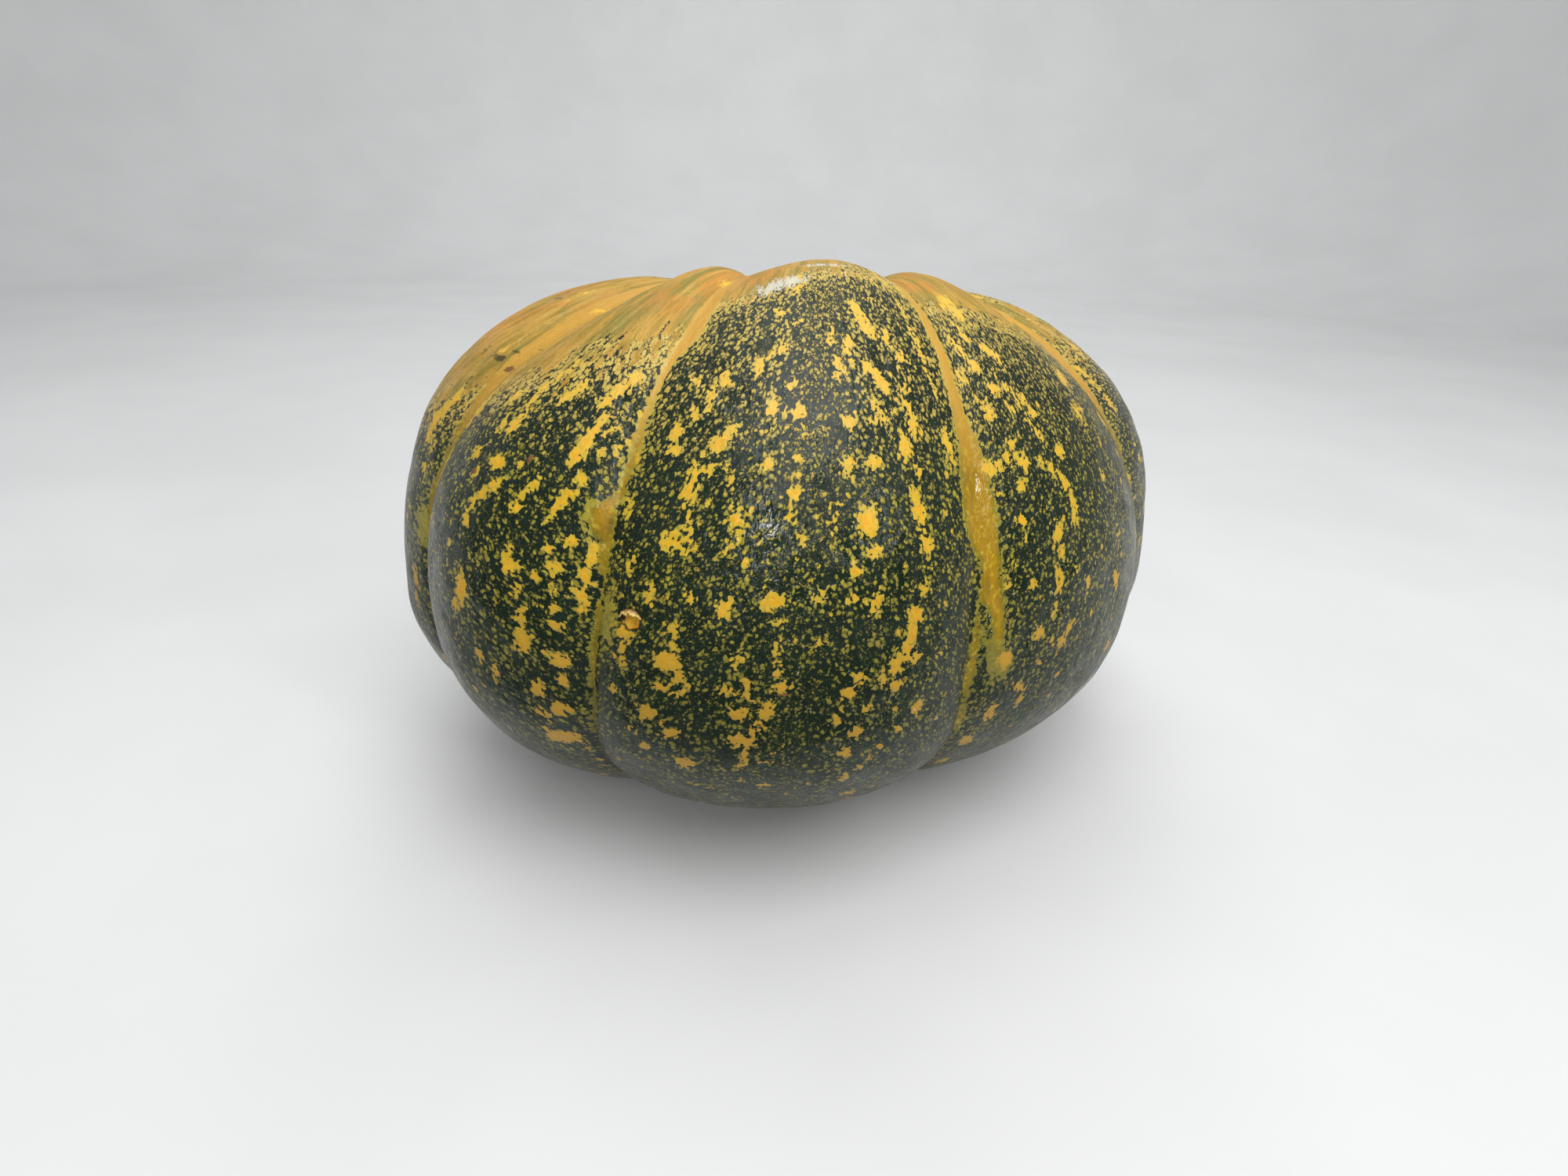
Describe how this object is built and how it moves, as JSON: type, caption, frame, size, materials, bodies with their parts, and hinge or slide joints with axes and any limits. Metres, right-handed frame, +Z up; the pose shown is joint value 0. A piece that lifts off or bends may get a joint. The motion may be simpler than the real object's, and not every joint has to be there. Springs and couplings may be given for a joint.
{
  "type": "kabocha squash",
  "caption": "Ribbed green squash with golden flecks, lying on its blossom end, with a short cut stem in the hollow of its crown.",
  "frame": {"origin": "under the middle of the squash's bounding box, on the surface that it rests on", "axes": "+Z up, from the blossom end to the stem end; +X across the widest direction, to the right as seen from the front; the tall front lobe faces -Y"},
  "size_m": [0.245, 0.2348, 0.1643],
  "materials": {
    "squash_skin": "waxy squash skin: dark green ground with golden blotches and fine yellow-green speckles, satin gloss",
    "corky_stem": "dry corky stem, fibrous and matt, paler on the cut end"
  },
  "bodies": {
    "root": {"fruit": "squash_skin", "stem": "corky_stem"}
  },
  "joints": []
}
